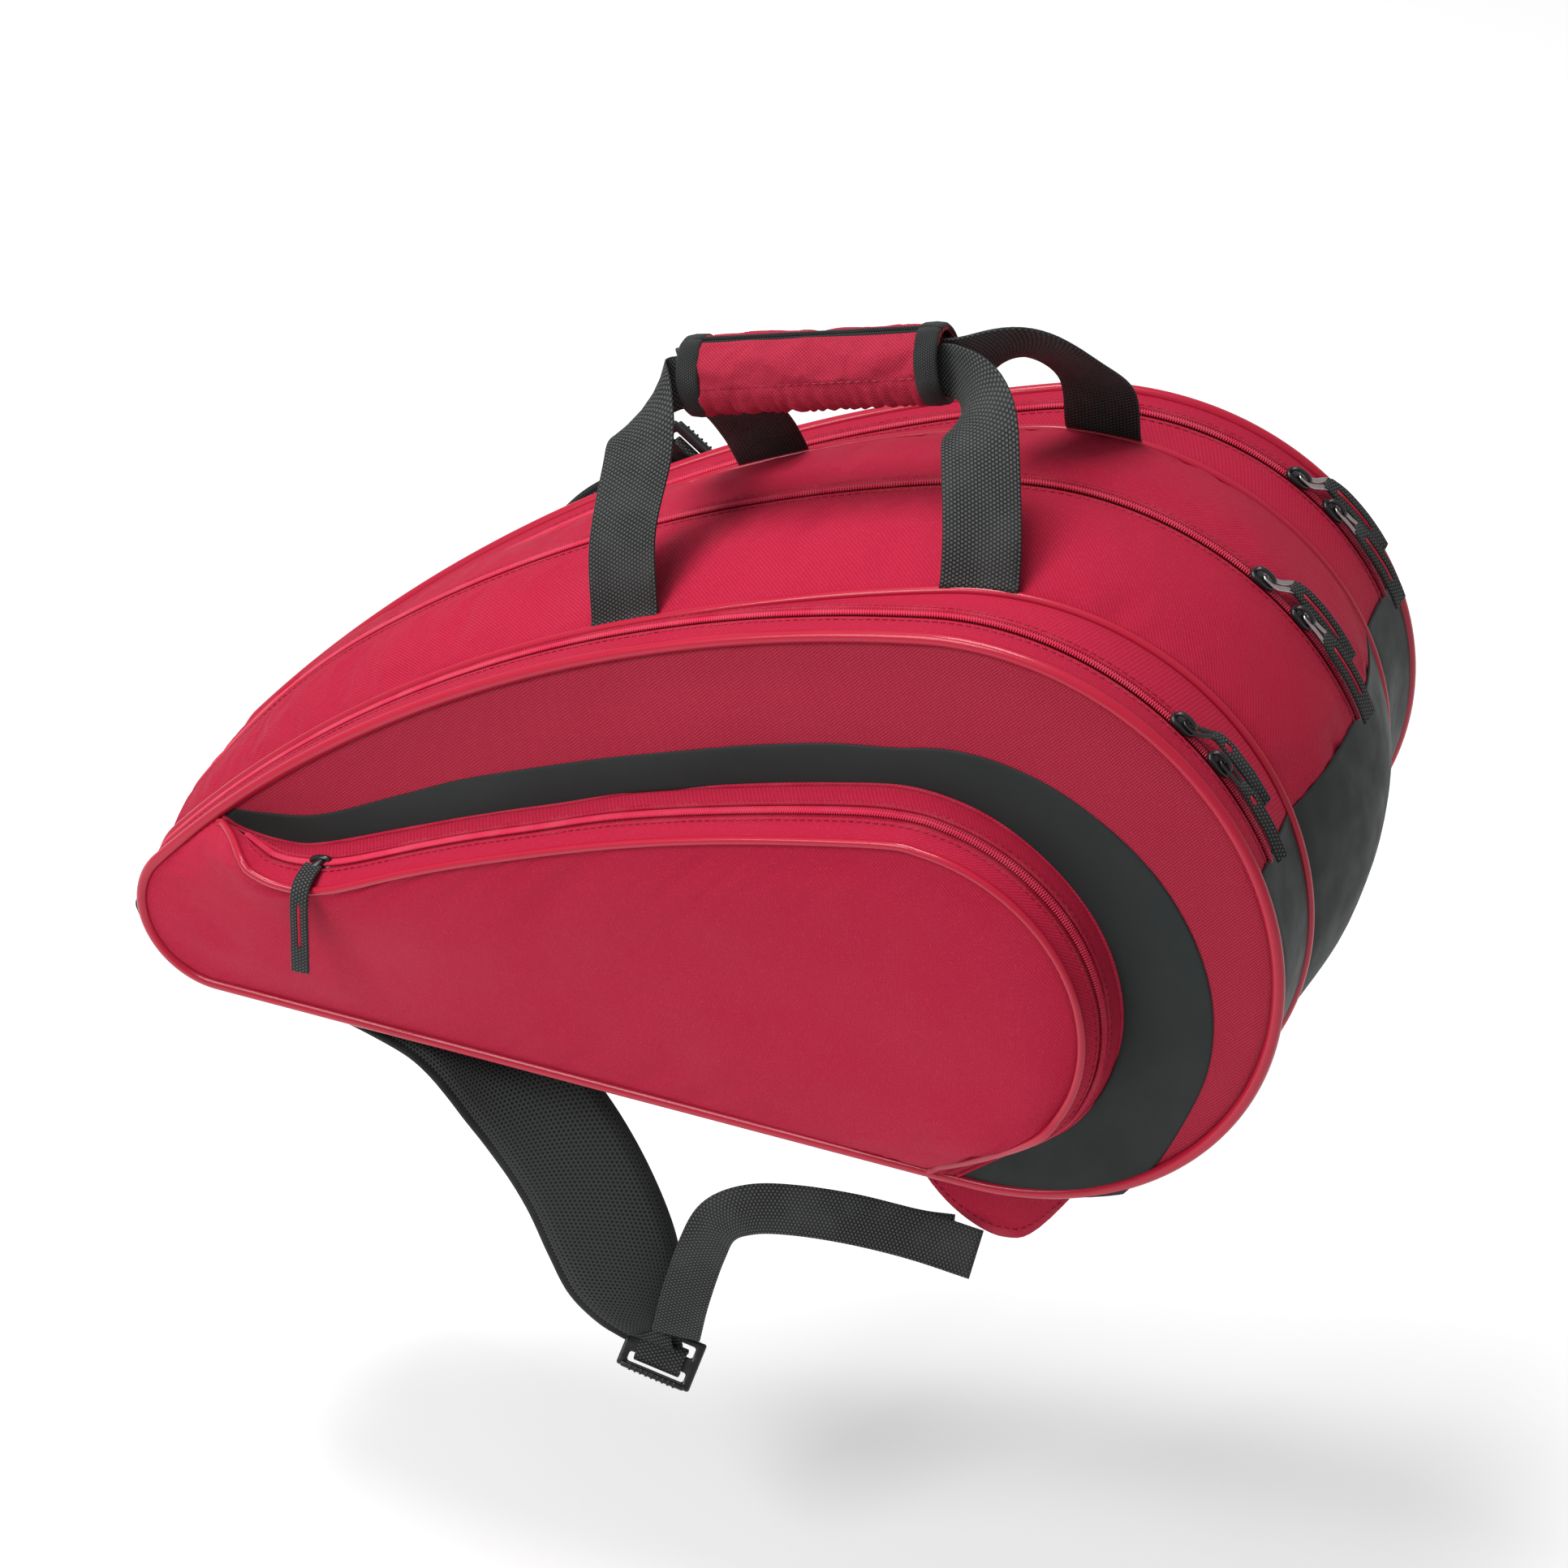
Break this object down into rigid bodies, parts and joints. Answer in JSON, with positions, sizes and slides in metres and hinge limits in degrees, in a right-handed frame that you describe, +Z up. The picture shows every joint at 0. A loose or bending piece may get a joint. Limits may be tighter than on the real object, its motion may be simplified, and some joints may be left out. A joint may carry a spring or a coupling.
{
  "type": "racket tournament bag",
  "caption": "Teardrop-outlined soft racket bag with three zipped compartments, a zipped front pocket, a webbing carry handle with a wrap-around grip, and padded shoulder straps.",
  "frame": {"origin": "middle of the carry handle's grip, where a hand or a hook holds the bag", "axes": "+X along the bag to its fat end, +Y from the front cover to the rear cover, +Z up"},
  "size_m": [0.6232, 0.3164, 0.5829],
  "materials": {
    "red_fabric": "woven polyester twill",
    "red_piping": "glossy coated cord",
    "red_zip": "nylon coil",
    "black_fabric": "matte coated fabric",
    "lining_fabric": "plain lining",
    "black_webbing": "ribbed webbing",
    "black_mesh": "spacer mesh over foam",
    "black_plastic": "moulded acetal"
  },
  "bodies": {
    "carry_handle": {"grip_core": "black_webbing", "wrap_rear": "red_fabric", "front_leg_left": "black_webbing", "front_leg_right": "black_webbing", "rear_leg_left": "black_webbing", "rear_leg_right": "black_webbing"},
    "wrap_flap": {"wrap_front": "red_fabric"},
    "bag": {"base_panel": "black_fabric", "end_panel": "black_fabric", "front_gusset": "red_fabric", "middle_gusset_front": "red_fabric", "middle_gusset_rear": "red_fabric", "rear_gusset": "red_fabric", "front_zip": "red_zip", "middle_zip": "red_zip", "rear_zip": "red_zip", "front_divider": "lining_fabric", "rear_divider": "lining_fabric", "near_pad_root": "black_mesh", "far_pad_root": "black_mesh", "near_tab": "red_fabric", "far_tab": "red_fabric", "narrow_end_tab": "black_webbing"},
    "front_cover": {"front_cover_panel": "red_fabric", "front_edge_strip": "red_fabric", "front_piping": "red_piping", "pocket_gusset": "red_fabric", "pocket_zip": "red_zip", "pocket_face": "red_fabric"},
    "rear_cover": {"rear_cover_panel": "red_fabric", "rear_edge_strip": "red_fabric", "rear_piping": "red_piping"},
    "near_strap": {"near_pad": "black_mesh", "near_webbing": "black_webbing", "near_webbing_tail": "black_webbing"},
    "near_lock": {"near_ladder_lock": "black_plastic"},
    "far_strap": {"far_pad": "black_mesh", "far_webbing": "black_webbing"},
    "far_lock": {"far_ladder_lock": "black_plastic"},
    "pocket_slider": {"pocket_slider": "black_plastic"},
    "pocket_pull": {"pocket_pull": "black_webbing"},
    "front_slider_1": {"front_slider_1": "black_plastic"},
    "front_pull_1": {"front_pull_1": "black_webbing"},
    "front_slider_2": {"front_slider_2": "black_plastic"},
    "front_pull_2": {"front_pull_2": "black_webbing"},
    "middle_slider_1": {"middle_slider_1": "black_plastic"},
    "middle_pull_1": {"middle_pull_1": "black_webbing"},
    "middle_slider_2": {"middle_slider_2": "black_plastic"},
    "middle_pull_2": {"middle_pull_2": "black_webbing"},
    "rear_slider_1": {"rear_slider_1": "black_plastic"},
    "rear_pull_1": {"rear_pull_1": "black_webbing"},
    "rear_slider_2": {"rear_slider_2": "black_plastic"},
    "rear_pull_2": {"rear_pull_2": "black_webbing"}
  },
  "joints": [
    {"name": "handle_slack", "type": "slide", "parent": "carry_handle", "child": "bag", "axis": [0, 0, 1], "range_m": [0, 0.03], "deforming": ["front_leg_left", "front_leg_right", "rear_leg_left", "rear_leg_right"]},
    {"name": "wrap_opening", "type": "hinge", "parent": "carry_handle", "child": "wrap_flap", "pos_m": [0, 0, -0.01945], "axis": [0.977, 0, 0.213], "range_deg": [0, 60]},
    {"name": "front_cover_opening", "type": "hinge", "parent": "bag", "child": "front_cover", "pos_m": [0, -0.11119, -0.3615], "axis": [0.9926, -0.1213, 0], "range_deg": [0, 12]},
    {"name": "rear_cover_opening", "type": "hinge", "parent": "bag", "child": "rear_cover", "pos_m": [0, 0.11119, -0.3615], "axis": [-0.9926, -0.1213, 0], "range_deg": [0, 12]},
    {"name": "front_slider_1_travel", "type": "hinge", "parent": "bag", "child": "front_slider_1", "pos_m": [0.1135, -0.10506, -0.2105], "axis": [-0.1213, -0.9926, 0], "range_deg": [0, 44]},
    {"name": "front_pull_1_flip", "type": "hinge", "parent": "front_slider_1", "child": "front_pull_1", "pos_m": [0.21031, -0.11672, -0.08658], "axis": [-0.0755, -0.9954, 0.059], "range_deg": [0, 120]},
    {"name": "front_slider_2_travel", "type": "hinge", "parent": "bag", "child": "front_slider_2", "pos_m": [0.1135, -0.10506, -0.2105], "axis": [0.1213, 0.9926, 0], "range_deg": [0, 15]},
    {"name": "front_pull_2_flip", "type": "hinge", "parent": "front_slider_2", "child": "front_pull_2", "pos_m": [0.22851, -0.11891, -0.10326], "axis": [-0.0566, -0.9965, 0.0607], "range_deg": [0, 120]},
    {"name": "middle_slider_1_travel", "type": "hinge", "parent": "bag", "child": "middle_slider_1", "pos_m": [0.1135, 0, -0.2105], "axis": [0, -1, 0], "range_deg": [0, 44]},
    {"name": "middle_pull_1_flip", "type": "hinge", "parent": "middle_slider_1", "child": "middle_pull_1", "pos_m": [0.21955, 0, -0.07476], "axis": [0, -1, 0], "range_deg": [0, 120]},
    {"name": "middle_slider_2_travel", "type": "hinge", "parent": "bag", "child": "middle_slider_2", "pos_m": [0.1135, 0, -0.2105], "axis": [0, 1, 0], "range_deg": [0, 15]},
    {"name": "middle_pull_2_flip", "type": "hinge", "parent": "middle_slider_2", "child": "middle_pull_2", "pos_m": [0.23948, 0, -0.09303], "axis": [0, -1, 0], "range_deg": [0, 120]},
    {"name": "rear_slider_1_travel", "type": "hinge", "parent": "bag", "child": "rear_slider_1", "pos_m": [0.1135, 0.10506, -0.2105], "axis": [0.1213, -0.9926, 0], "range_deg": [0, 44]},
    {"name": "rear_pull_1_flip", "type": "hinge", "parent": "rear_slider_1", "child": "rear_pull_1", "pos_m": [0.21031, 0.11672, -0.08658], "axis": [0.0755, -0.9954, -0.059], "range_deg": [0, 120]},
    {"name": "rear_slider_2_travel", "type": "hinge", "parent": "bag", "child": "rear_slider_2", "pos_m": [0.1135, 0.10506, -0.2105], "axis": [-0.1213, 0.9926, 0], "range_deg": [0, 15]},
    {"name": "rear_pull_2_flip", "type": "hinge", "parent": "rear_slider_2", "child": "rear_pull_2", "pos_m": [0.22851, 0.11891, -0.10326], "axis": [0.0566, -0.9965, -0.0607], "range_deg": [0, 120]},
    {"name": "pocket_slider_travel", "type": "slide", "parent": "front_cover", "child": "pocket_slider", "axis": [0.94, -0.1361, 0.3127], "range_m": [0, 0.01]},
    {"name": "pocket_pull_flip", "type": "hinge", "parent": "pocket_slider", "child": "pocket_pull", "pos_m": [-0.22191, -0.1045, -0.25426], "axis": [-1, 0, 0], "range_deg": [0, 80]},
    {"name": "near_strap_swing", "type": "hinge", "parent": "bag", "child": "near_strap", "pos_m": [-0.15, -0.068, -0.3895], "axis": [0.9889, -0.087, -0.1206], "range_deg": [-12, 12]},
    {"name": "near_lock_tilt", "type": "hinge", "parent": "near_strap", "child": "near_lock", "pos_m": [-0.0525, -0.0815, -0.5245], "axis": [0.9645, 0, -0.264], "range_deg": [0, 15]},
    {"name": "far_strap_swing", "type": "hinge", "parent": "rear_cover", "child": "far_strap", "pos_m": [-0.222, 0.088, -0.3715], "axis": [-0.9926, -0.1213, 0], "range_deg": [0, 165]},
    {"name": "far_lock_tilt", "type": "hinge", "parent": "far_strap", "child": "far_lock", "pos_m": [-0.1095, 0.112, -0.1385], "axis": [-0.76, 0, 0.65], "range_deg": [0, 15]}
  ]
}
